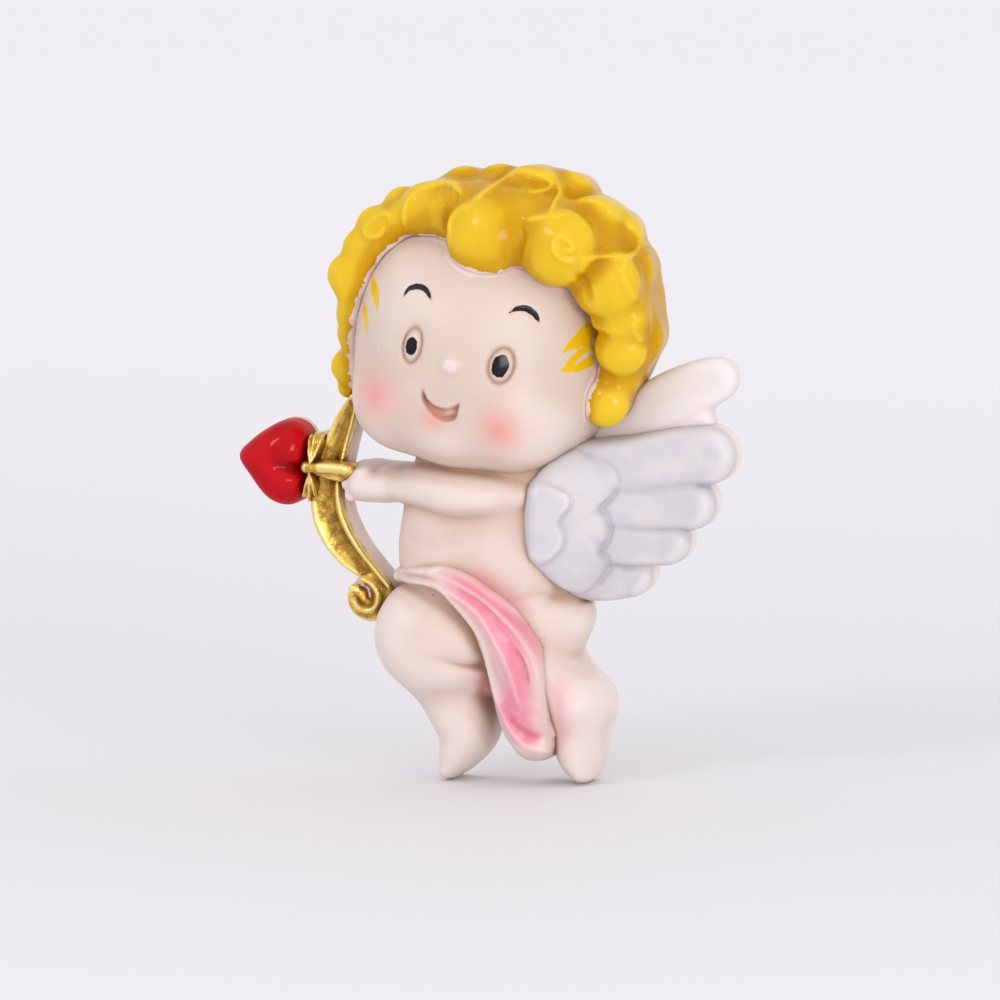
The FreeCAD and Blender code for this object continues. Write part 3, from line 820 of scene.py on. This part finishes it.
def wisp_distance(block):
    """The distance outside the painted wisps; negative inside."""
    shapes = [between(block, [tip, *one, root], [tip, *other, root]) for tip, one, other, root in WISPS]
    wisps = np.minimum.reduce(shapes)
    centre, radii, lean = WISP_GAP
    bare_strip = (ellipse_share(block, centre, radii, lean) - 1) * radii[0]
    return np.maximum(wisps, -bare_strip)


BLUSHES = ((-10.4, 44.2, 2.7, 0.95), (4.3, 40.9, 2.3, 1.0), (-3.3, 42.1, 1.4, 0.8))  # x, z, radius, strength


def face_masks(block):
    pupils = [(ellipse_share(block, centre, pupil) - 1) * pupil[0] for centre, _, pupil in EYES]
    brow_lines = [brow_line(block, points, width) for points, width in BROWS]
    blush = sum(spot(block, *entry) for entry in BLUSHES)
    return {
        "pupil": lift(painted(np.minimum.reduce(pupils))),
        "brow": lift(painted(np.minimum.reduce(brow_lines))),
        "wisp": lift(painted(wisp_distance(block))),
        "lip": lift(painted(between(block, MOUTH_INNER, MOUTH_OUTER))),
        "blush": lift(np.clip(blush, 0, 1)),
    }


# Pink that drifted onto the skin beside the sash.
OVERSPRAY = (
    ([(-1.2, 25.0), (1.8, 23.6), (4.4, 21.4), (6.4, 19.0)], 0.9, 0.5),
    ([(-0.6, 13.2), (0.7, 11.0), (1.6, 8.8), (2.0, 6.4)], 0.8, 0.8),
    ([(8.8, 13.4), (9.6, 10.4), (9.6, 6.8), (9.4, 4.6)], 1.2, 0.5),
)
SASH_SPRAY = (
    ([(-4.4, 24.0), (-1.2, 22.8), (1.6, 20.8), (3.6, 18.0), (4.8, 15.0), (5.2, 12.0), (5.2, 9.4), (5.6, 7.0),
      (6.6, 4.0)], 1.9, 1.0),
    ([(-3.6, 24.3), (0.4, 22.6), (3.9, 19.7), (6.1, 17.6), (7.2, 15.2), (7.5, 12.6)], 0.9, 0.5),
    ([(3.4, 10.6), (3.8, 8.4), (4.9, 6.8), (6.4, 5.9), (7.8, 5.8)], 1.2, 1.0),
)


# ---- materials ----
class Paint:
    """A material's nodes, with short calls for the arithmetic of paint. Lengths are in millimetres."""

    def __init__(self, name):
        self.material = bpy.data.materials.new(name)
        self.material.use_nodes = True
        self.tree = self.material.node_tree
        self.shader = self.tree.nodes["Principled BSDF"]
        on_object = self.node("TexCoord")["Object"]
        self.place = self.node("VectorMath", {0: on_object, "Scale": 1 / MM}, operation="SCALE")[0]
        self.depth = self.math("SUBTRACT", BACK_Y, self.node("SeparateXYZ", {0: self.place})["Y"])

    def node(self, kind, sockets=(), **settings):
        """A new node's outputs. Settings are made first, then sockets are filled, by name or number."""
        node = self.tree.nodes.new("ShaderNode" + kind)
        for label, value in settings.items():
            setattr(node, label, value)
        for socket, value in dict(sockets).items():
            self.put(node.inputs[socket], value)
        return node.outputs

    def put(self, socket, value):
        if isinstance(value, bpy.types.NodeSocket):
            self.tree.links.new(value, socket)
        elif isinstance(value, tuple) and socket.type == "RGBA":
            socket.default_value = (*value, 1)
        else:
            socket.default_value = value

    def math(self, operation, *values):
        return self.node("Math", enumerate(values), operation=operation)[0]

    def add(self, *values):
        return functools.reduce(lambda a, b: self.math("ADD", a, b), values)

    def times(self, *values):
        return functools.reduce(lambda a, b: self.math("MULTIPLY", a, b), values)

    def ramp(self, value, start, end, low=0.0, high=1.0):
        """low where value is at start, high where it is at end, and a smooth step between."""
        entries = enumerate((value, start, end, low, high))
        return self.node("MapRange", entries, interpolation_type="SMOOTHSTEP")[0]

    def mark(self, name):
        return self.node("Attribute", attribute_name=name)["Fac"]

    def on_mark(self, name, start, end, low=0.0, high=1.0):
        return self.ramp(self.mark(name), start, end, low, high)

    def noise(self, size, detail=2.0, stretch=(1, 1, 1), seed=0.0):
        """Soft random values from 0 to 1, in patches of about this size."""
        shift = (seed, 1.7 * seed, -0.6 * seed)
        place = self.node("Mapping", {"Location": shift, "Scale": stretch, "Vector": self.place})[0]
        return self.node("TexNoise", {"Scale": 1 / size, "Detail": detail, "Vector": place})["Fac"]

    def patches(self, size, detail, start, end, low=0.0, high=1.0, **settings):
        return self.ramp(self.noise(size, detail, **settings), start, end, low, high)

    def wobble(self, size, detail, seed, amount):
        """Soft random values that reach half of amount either side of 0."""
        return self.times(self.math("SUBTRACT", self.noise(size, detail, seed=seed), 0.5), amount)

    def dots(self, spacing, radius):
        """Small round specks: 1 inside a speck and 0 outside."""
        cells = self.node("TexVoronoi", {"Scale": 1 / spacing, "Vector": self.place})
        return self.ramp(self.times(cells["Distance"], spacing), radius, 0.4 * radius)

    def mix(self, share, a, b):
        return self.node("Mix", {"Factor": share, "A": a, "B": b}, data_type="RGBA")["Result"]

    def over(self, tone, share, strength, colour):
        """The tone with a colour laid over it, at most by strength."""
        return self.mix(self.times(share, strength), tone, colour)

    def blend(self, share, a, b):
        """Two numbers mixed by share."""
        return self.add(self.times(self.math("SUBTRACT", 1.0, share), a), self.times(share, b))

    def edge(self, name, ragged=0.1, soft=0.03):
        """1 inside a painted mark. ragged and soft are in the mark's own units, 0.5 to a millimetre."""
        uneven = self.add(self.mark(name), self.wobble(0.5, 3, len(name), ragged))
        return self.ramp(uneven, 0.5 - soft, 0.5 + soft)

    def coat_depth(self, start, ragged=0.6, soft=0.12, seed=3.0):
        """1 in front of depth start, as far down as paint from the front reached, with a ragged edge."""
        wobble = self.wobble(0.9, 3, seed, 2 * ragged)
        return self.ramp(self.add(self.depth, wobble), start - soft, start + soft)

    def relief(self, height, distance=0.05):
        """Bumps of up to this many millimetres."""
        bump = self.node("Bump", {"Distance": distance * MM, "Height": height})
        self.put(self.shader.inputs["Normal"], bump["Normal"])

    def finish(self, colour, roughness, **settings):
        for label, value in {"Base_Color": colour, "Roughness": roughness, **settings}.items():
            self.put(self.shader.inputs[label.replace("_", " ")], value)
        return self.material

    def orange_peel(self, size=0.9):
        """The faint unevenness of sprayed paint, for bumps."""
        broad = self.times(self.noise(size, 2, seed=11.0), 0.7)
        return self.add(broad, self.times(self.noise(0.16, 2, seed=5.0), 0.3))


BARE_RESIN = (0.82, 0.68, 0.61)
RESIN_SHADE = (0.70, 0.54, 0.49)
CREAM = (0.84, 0.74, 0.69)
FACE_SKIN = (0.665, 0.54, 0.462)
BODY_SKIN = (0.735, 0.605, 0.545)
SKIN_WARM = (0.70, 0.53, 0.44)
SKIN_PALE_AND_HIGHLIGHT = (0.82, 0.70, 0.65)
SKIN_SHADE = (0.56, 0.37, 0.27)
GRIME_AND_SHADE = (0.36, 0.22, 0.15)
BLUSH = (0.83, 0.24, 0.20)
PUPIL = (0.004, 0.001, 0.008)
BROW = (0.014, 0.012, 0.017)
LIP = (0.60, 0.28, 0.22)
HAIR_EDGE = (0.80, 0.67, 0.63)
HAIR = (0.60, 0.315, 0.001)
HAIR_DEEP_SHADE = (0.50, 0.235, 0.001)
HAIR_THIN_AND_HIGHLIGHT = (0.86, 0.61, 0.03)
HAIR_SPECK = (0.30, 0.16, 0.01)
WISP = (0.78, 0.50, 0.004)
PINK = (0.80, 0.20, 0.30)
PINK_SHADE = (0.72, 0.13, 0.22)
WING_WHITE = (0.585, 0.56, 0.595)
WING_SHADE = (0.54, 0.51, 0.55)
FAR_WING_WHITE = (0.78, 0.72, 0.72)
FAR_WING_SHADE = (0.73, 0.65, 0.66)
WING_THIN = (0.77, 0.72, 0.73)
WING_SPECK = (0.30, 0.27, 0.28)
GOLD = (0.76, 0.48, 0.085)
GOLD_DARK_AND_SHADE = (0.27, 0.14, 0.022)
GOLD_BRIGHT_AND_HIGHLIGHT = (0.90, 0.69, 0.25)
RED = (0.52, 0.003, 0.008)
RED_DEEP_AND_SHADE = (0.28, 0.001, 0.004)
FERRITE = (0.035, 0.034, 0.036)
FERRITE_GROUND = (0.075, 0.073, 0.072)
SUBSURFACE = {"Subsurface_Weight": 0.12, "Subsurface_Scale": 0.6 * MM, "Subsurface_Radius": (1.0, 0.45, 0.3)}
BACK_COAT = 0.5  # depth down to which skin, sash and hair are painted


def bare_resin(paint):
    """Unpainted cast resin: pinkish, slightly cloudy, with sanding lines on the flat back."""
    tone = paint.mix(paint.patches(3.5, 3, 0.35, 0.7, seed=21.0), BARE_RESIN, RESIN_SHADE)
    sanded = paint.patches(0.35, 2, 0.45, 0.75, 0.0, 0.3, stretch=(0.06, 1, 1), seed=9.0)
    return paint.mix(sanded, tone, CREAM)


def skin_colour(paint, base):
    """Sprayed skin: paler where it stands out, as painted highlight; browner in its hollows, as painted shade
    over warm airbrushed paint; and darker in the fine creases, partly dirt and partly painted shade.
    """
    tone = paint.mix(paint.patches(6.0, 3, 0.4, 0.75, 0.0, 0.5, seed=1.0), base, SKIN_WARM)
    # Paler on the raised parts: painted highlight.
    tone = paint.mix(paint.on_mark("hollow_broad", 0.42, 0.2, 0.0, 0.7), tone, SKIN_PALE_AND_HIGHLIGHT)
    # Browner in the broad and the narrower hollows: painted shade, partly warm airbrushed paint.
    tone = paint.mix(paint.on_mark("hollow_broad", 0.55, 1.0, 0.0, 0.7), tone, SKIN_SHADE)
    tone = paint.over(tone, paint.on_mark("hollow_wide", 0.52, 0.95), 0.65, SKIN_SHADE)
    # Darker in the fine creases: partly dirt, partly painted shade.
    uneven = paint.times(paint.noise(0.5, 3), 0.1)
    crease_grime_and_shade = paint.ramp(paint.add(paint.mark("hollow_fine"), uneven), 0.72, 1.3)
    return paint.over(tone, crease_grime_and_shade, 0.6, GRIME_AND_SHADE)


def painted_face(paint, colour, roughness):
    """The skin's colour and roughness with the face's paint on it, and the bare band beside the hair."""
    mottled = paint.patches(0.7, 3, 0.3, 0.7, 0.86, 1.0, seed=8.0)
    colour = paint.mix(paint.times(paint.mark("blush"), mottled, 0.68), colour, BLUSH)
    colour = paint.over(colour, paint.edge("lip", 0.1, 0.1), 0.38, LIP)
    glossy = wisp = paint.edge("wisp", 0.18)
    for name, tint, ragged in (("pupil", PUPIL, 0.16), ("brow", BROW, 0.09)):
        inside = paint.edge(name, ragged, 0.02)
        worn = paint.times(inside, paint.patches(0.3, 2, 0.25, 0.34, 0.93, 1.0, seed=2.0))
        colour = paint.mix(worn, colour, tint)
        glossy = paint.add(glossy, inside)
    colour = paint.mix(wisp, colour, WISP)
    roughness = paint.blend(paint.math("MINIMUM", glossy, 1.0), roughness, 0.14)
    beside_hair = paint.ramp(paint.add(paint.mark("off_hair"), paint.wobble(0.9, 4, 17.0, 1.6)), 0.62, 0.5)
    return paint.over(colour, beside_hair, 0.8, HAIR_EDGE), roughness


def skin_material(face=False):
    paint = Paint("skin_paint_face" if face else "skin_paint_body")
    colour = skin_colour(paint, FACE_SKIN if face else BODY_SKIN)
    colour = paint.over(colour, paint.dots(3.1, 0.07), 0.35, GRIME_AND_SHADE)
    colour = paint.over(colour, paint.mark("pink"), 0.62, PINK)
    roughness = paint.patches(2.4, 3, 0.3, 0.7, 0.36, 0.46, seed=4.0)
    if face:
        colour, roughness = painted_face(paint, colour, roughness)
    covered = paint.coat_depth(BACK_COAT, 0.35)
    colour = paint.mix(covered, bare_resin(paint), colour)
    roughness = paint.blend(covered, 0.62, roughness)
    paint.relief(paint.orange_peel(), 0.035)
    gloss = {"Coat_Weight": 0.12, "Coat_Roughness": 0.28, "Specular_IOR_Level": 0.22}
    return paint.finish(colour, roughness, **gloss, **SUBSURFACE)


def hair_material():
    """Thick enamel, thin and light on the raised lines, that stops short of the face. Deeper orange in the
    hollows is painted shade, and the lighter tops of the curls are painted highlight.
    """
    paint = Paint("hair_paint")
    # Deeper orange in the hollows between the curls: painted shade.
    tone = paint.mix(paint.on_mark("hollow_wide", 0.42, 0.8), HAIR, HAIR_DEEP_SHADE)
    tone = paint.over(tone, paint.patches(2.2, 3, 0.5, 0.75, stretch=(1, 1, 0.5), seed=6.0), 0.3, HAIR_THIN_AND_HIGHLIGHT)
    uneven = paint.times(paint.noise(0.8, 2, seed=7.0), 0.1)
    ridge = paint.ramp(paint.add(paint.mark("hollow_fine"), uneven), 0.44, 0.24)
    tone = paint.over(tone, ridge, 0.4, HAIR_THIN_AND_HIGHLIGHT)
    # Lighter on the raised tops of the curls: painted highlight.
    tone = paint.mix(paint.on_mark("hollow_broad", 0.34, 0.05, 0.0, 0.55), tone, HAIR_THIN_AND_HIGHLIGHT)
    tone = paint.over(tone, paint.dots(2.6, 0.09), 0.5, HAIR_SPECK)
    off_skin = paint.ramp(paint.add(paint.mark("off_skin"), paint.wobble(1.0, 4, 13.0, 1.8)), 0.62, 0.72)
    covered = paint.times(off_skin, paint.coat_depth(BACK_COAT, 0.4))
    colour = paint.mix(covered, bare_resin(paint), tone)
    roughness = paint.blend(covered, 0.55, paint.patches(1.8, 2, 0.3, 0.7, 0.24, 0.34, seed=14.0))
    paint.relief(paint.orange_peel(1.4), 0.04)
    gloss = {"Coat_Weight": paint.times(covered, 0.34), "Coat_Roughness": 0.12, "Specular_IOR_Level": 0.02}
    return paint.finish(colour, roughness, **gloss)


def sash_material():
    paint = Paint("sash_paint")
    spray = paint.times(paint.mark("spray"), paint.patches(1.2, 3, 0.25, 0.6, 0.85, 1.0, seed=31.0))
    # Deeper pink in the fold valleys: painted shade.
    pink = paint.mix(paint.on_mark("hollow_wide", 0.45, 0.8), PINK, PINK_SHADE)
    colour = paint.over(skin_colour(paint, BODY_SKIN), spray, 0.9, pink)
    colour = paint.over(colour, paint.on_mark("hollow_fine", 0.46, 0.2), 0.3, SKIN_PALE_AND_HIGHLIGHT)
    colour = paint.mix(paint.coat_depth(BACK_COAT, 0.35), bare_resin(paint), colour)
    roughness = paint.patches(1.5, 2, 0.3, 0.7, 0.32, 0.44, seed=32.0)
    paint.relief(paint.orange_peel(1.1), 0.04)
    return paint.finish(colour, roughness, Coat_Weight=0.15, Coat_Roughness=0.3, **SUBSURFACE)


def wing_material(near):
    """The near wing is sprayed white from the front; the far one is almost bare, milky resin."""
    paint = Paint("wing_paint_near" if near else "wing_paint_far")
    white, shade = (WING_WHITE, WING_SHADE) if near else (FAR_WING_WHITE, FAR_WING_SHADE)
    tone = paint.mix(paint.on_mark("hollow_fine", 0.55, 1.0), white, shade)
    tone = paint.over(tone, paint.patches(4.5, 3, 0.4, 0.7, seed=41.0), 0.25 if near else 0.5, CREAM)
    tone = paint.over(tone, paint.on_mark("hollow_wide", 0.4, 0.15), 0.6, WING_THIN)
    tone = paint.over(tone, paint.dots(3.4, 0.07), 0.4, WING_SPECK)
    covered = paint.coat_depth(2.3, 0.7, 0.9) if near else paint.coat_depth(0.9, 0.5, 0.5)
    colour = paint.mix(covered, bare_resin(paint), tone)
    colour = paint.mix(paint.ramp(paint.depth, 0.25, 0.6), colour, paint.mix(covered, CREAM, tone))
    roughness = paint.patches(2.0, 2, 0.3, 0.7, 0.42, 0.54, seed=42.0)
    paint.relief(paint.orange_peel(1.3), 0.03)
    gloss = {"Coat_Weight": 0.08, "Coat_Roughness": 0.3, "Specular_IOR_Level": 0.35}
    return paint.finish(colour, roughness, **gloss, **SUBSURFACE)


def gold_material(name, start):
    """Brushed metallic paint, brighter on the raised edges as painted highlight and darker in the fine recesses
    as painted shade. The brush reached down to depth start.
    """
    paint = Paint(name)
    tone = paint.mix(paint.patches(1.3, 4, 0.35, 0.68, seed=51.0), GOLD, GOLD_DARK_AND_SHADE)
    # Darker in the fine recesses: painted shade.
    tone = paint.mix(paint.on_mark("hollow_fine", 0.5, 0.85), tone, GOLD_DARK_AND_SHADE)
    # Brighter on the raised edges: painted highlight.
    tone = paint.mix(paint.on_mark("hollow_fine", 0.44, 0.22), tone, GOLD_BRIGHT_AND_HIGHLIGHT)
    tone = paint.over(tone, paint.patches(0.16, 2, 0.5, 0.75, seed=52.0), 0.35, GOLD_BRIGHT_AND_HIGHLIGHT)
    pinholes = paint.dots(1.1, 0.06)
    tone = paint.over(tone, pinholes, 0.6, GOLD_DARK_AND_SHADE)
    covered = paint.coat_depth(start, 0.45, 0.08, seed=53.0)
    colour = paint.mix(covered, bare_resin(paint), tone)
    roughness = paint.blend(covered, 0.55, paint.patches(0.8, 3, 0.3, 0.7, 0.24, 0.46, seed=54.0))
    grain = paint.times(paint.noise(0.3, 3, seed=55.0), 0.8)
    paint.relief(paint.add(grain, paint.times(pinholes, -0.8)), 0.06)
    return paint.finish(colour, roughness, Metallic=paint.times(covered, 0.88))


def heart_material():
    """Thick red enamel, pooled darker in places, darker in its hollows as painted shade, and with a few
    bubbles.
    """
    paint = Paint("heart_paint")
    # Darker in the hollows: painted shade.
    tone = paint.mix(paint.on_mark("hollow_wide", 0.45, 0.85), RED, RED_DEEP_AND_SHADE)
    tone = paint.over(tone, paint.patches(3.0, 2, 0.4, 0.7, seed=61.0), 0.4, RED_DEEP_AND_SHADE)
    covered = paint.coat_depth(1.3, 0.5, 0.3, seed=62.0)
    colour = paint.mix(covered, bare_resin(paint), tone)
    ripple = paint.times(paint.noise(1.5, 2, seed=63.0), 0.9)
    paint.relief(paint.add(ripple, paint.times(paint.dots(2.3, 0.12), 0.5)), 0.07)
    gloss = {"Coat_Weight": paint.times(covered, 0.3), "Coat_Roughness": 0.05, "Specular_IOR_Level": 0.0}
    return paint.finish(colour, paint.blend(covered, 0.5, 0.2), **gloss)


def magnet_material():
    """Sintered ferrite: near black, matt, with a faint ground grain."""
    paint = Paint("ferrite")
    ground = paint.noise(0.5, 3, stretch=(0.1, 1, 1), seed=71.0)
    colour = paint.mix(paint.ramp(ground, 0.4, 0.7), FERRITE, FERRITE_GROUND)
    paint.relief(paint.add(ground, paint.times(paint.dots(0.9, 0.08), -0.6)), 0.03)
    return paint.finish(colour, paint.ramp(ground, 0.3, 0.7, 0.45, 0.6), Metallic=0.15)


# ---- pieces ----
SKIN_STEPS = {"head": 0.18, "trunk": 0.27, "left_arm": 0.22, "right_leg": 0.25, "left_leg": 0.25}


def cast_skin():
    body, face = skin_material(), skin_material(face=True)
    for node, step in SKIN_STEPS.items():
        block, own, everything, fields = sculpt(node, step)
        marks = {"pink": lift(airbrush(block, OVERSPRAY))}
        if node == "head":
            marks |= face_masks(block) | {"off_hair": fields["hair"]}
            everything = fields["skin"]
        material = face if node == "head" else body
        cast(node + "_skin", block, own, everything, material, marks, node)


def cast_the_rest():
    arrow_gold = gold_material("gold_paint_arrow", 3.6)
    for node, name, step, material, slot in (
        ("hair", "hair_curls", 0.22, hair_material(), "hair_paint"),
        ("drape", "sash_folds", 0.2, sash_material(), "sash_paint"),
        ("left_wing", "left_wing_feathers", 0.22, wing_material(True), "wing_paint"),
        ("right_wing", "right_wing_feathers", 0.22, wing_material(False), "wing_paint"),
        ("bow", "bow_stave", 0.17, gold_material("gold_paint_bow", 4.15), "gold_paint"),
        ("arrow_shaft", "arrow_rod", 0.11, arrow_gold, "gold_paint"),
        ("arrow_ferrule", "arrow_foil_fans", 0.12, arrow_gold, "gold_paint"),
        ("heart_arrowhead", "heart_head", 0.17, heart_material(), "heart_paint"),
    ):
        block, own, everything, fields = sculpt(node, step)
        marks = {"off_skin": fields["skin"]} if node == "hair" else {}
        if node == "drape":
            marks["spray"] = lift(airbrush(block, SASH_SPRAY))
        cast(name, block, own, everything, material, marks, node)


def finish_magnet():
    """The magnet's CAD shape is right as it is, so it only gets its material."""
    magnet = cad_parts["magnet"]
    magnet.data.materials.clear()
    magnet.data.materials.append(magnet_material())


# ---- studio ----
CAMERA_AZIMUTH = math.radians(15)
CAMERA_ELEVATION = math.radians(7)
LENS = 600.0
SENSOR = 36.0
VIEW_WIDTH = 112.2 * MM  # how much the frame spans, side to side, at the object
FRAME_RISE = 30.9 * MM  # how far the middle of the frame is above the foot of the flat back
# The paper is darker near the object than far off: painted shade that evens out the brighter light the
# softboxes throw on the floor near it.
NEAR_PAPER, FAR_PAPER = (0.785, 0.78, 0.80), (0.92, 0.915, 0.94)
PAPER_TURNS = (-520.0, 60.0)  # depths between which the paper's tone changes
SKY_COLOUR = (0.965, 0.95, 0.98, 1)
SKY_STRENGTH = 0.945
SUN_STRENGTH = 0.08
SUN_SPREAD = math.radians(70)
SOFTBOXES = {  # place, width, height and power
    "key_softbox": ((-0.24, -0.50, 0.42), 0.14, 0.14, 0.55),
    "side_softbox": ((0.40, -0.46, 0.10), 0.24, 0.20, 1.05),
}


def make_floor():
    bpy.ops.mesh.primitive_plane_add(size=60, location=(0, 0, 0))
    floor = bpy.context.object
    floor.name = "studio_floor"
    paint = Paint("seamless_paper")
    # Darker near the object: painted shade against the softboxes' light there.
    tone = paint.mix(paint.ramp(paint.depth, *PAPER_TURNS), FAR_PAPER, NEAR_PAPER)
    floor.data.materials.append(paint.finish(tone, 0.7))


def place_in_scene(name, data, place, target):
    thing = bpy.data.objects.new(name, data)
    bpy.context.scene.collection.objects.link(thing)
    thing.location = place
    thing.rotation_mode = "QUATERNION"
    thing.rotation_quaternion = (Vector(target) - thing.location).to_track_quat("-Z", "Y")


def make_lights():
    sky = bpy.data.worlds.new("studio_sky")
    sky.use_nodes = True
    background = sky.node_tree.nodes["Background"]
    background.inputs["Color"].default_value = SKY_COLOUR
    background.inputs["Strength"].default_value = SKY_STRENGTH
    bpy.context.scene.world = sky
    overhead = bpy.data.lights.new("overhead", "SUN")
    overhead.energy = SUN_STRENGTH
    overhead.angle = SUN_SPREAD
    place_in_scene("overhead", overhead, (-0.3, -0.6, 0.8), (0, 0, 0))
    for name, (place, width, height, power) in SOFTBOXES.items():
        light = bpy.data.lights.new(name, "AREA")
        light.shape = "RECTANGLE"
        light.size = width
        light.size_y = height
        light.energy = power
        place_in_scene(name, light, place, (0, 0, 35 * MM))


def make_camera():
    lens = bpy.data.cameras.new("photo_camera")
    lens.lens = LENS
    lens.sensor_width = SENSOR
    camera = bpy.data.objects.new("photo_camera", lens)
    bpy.context.scene.collection.objects.link(camera)
    level = math.cos(CAMERA_ELEVATION)
    towards = Vector((
        math.sin(CAMERA_AZIMUTH) * level, -math.cos(CAMERA_AZIMUTH) * level, math.sin(CAMERA_ELEVATION)
    ))
    rotation = (-towards).to_track_quat("-Z", "Y")
    foot_of_back = Vector((0, BACK_Y * MM, 0))
    target = foot_of_back + rotation @ Vector((0, FRAME_RISE, 0))
    camera.rotation_mode = "QUATERNION"
    camera.rotation_quaternion = rotation
    camera.location = target + towards * (VIEW_WIDTH * LENS / SENSOR)
    bpy.context.scene.camera = camera


cast_skin()
cast_the_rest()
finish_magnet()
make_floor()
make_lights()
make_camera()
bpy.context.scene.view_settings.view_transform = "Standard"
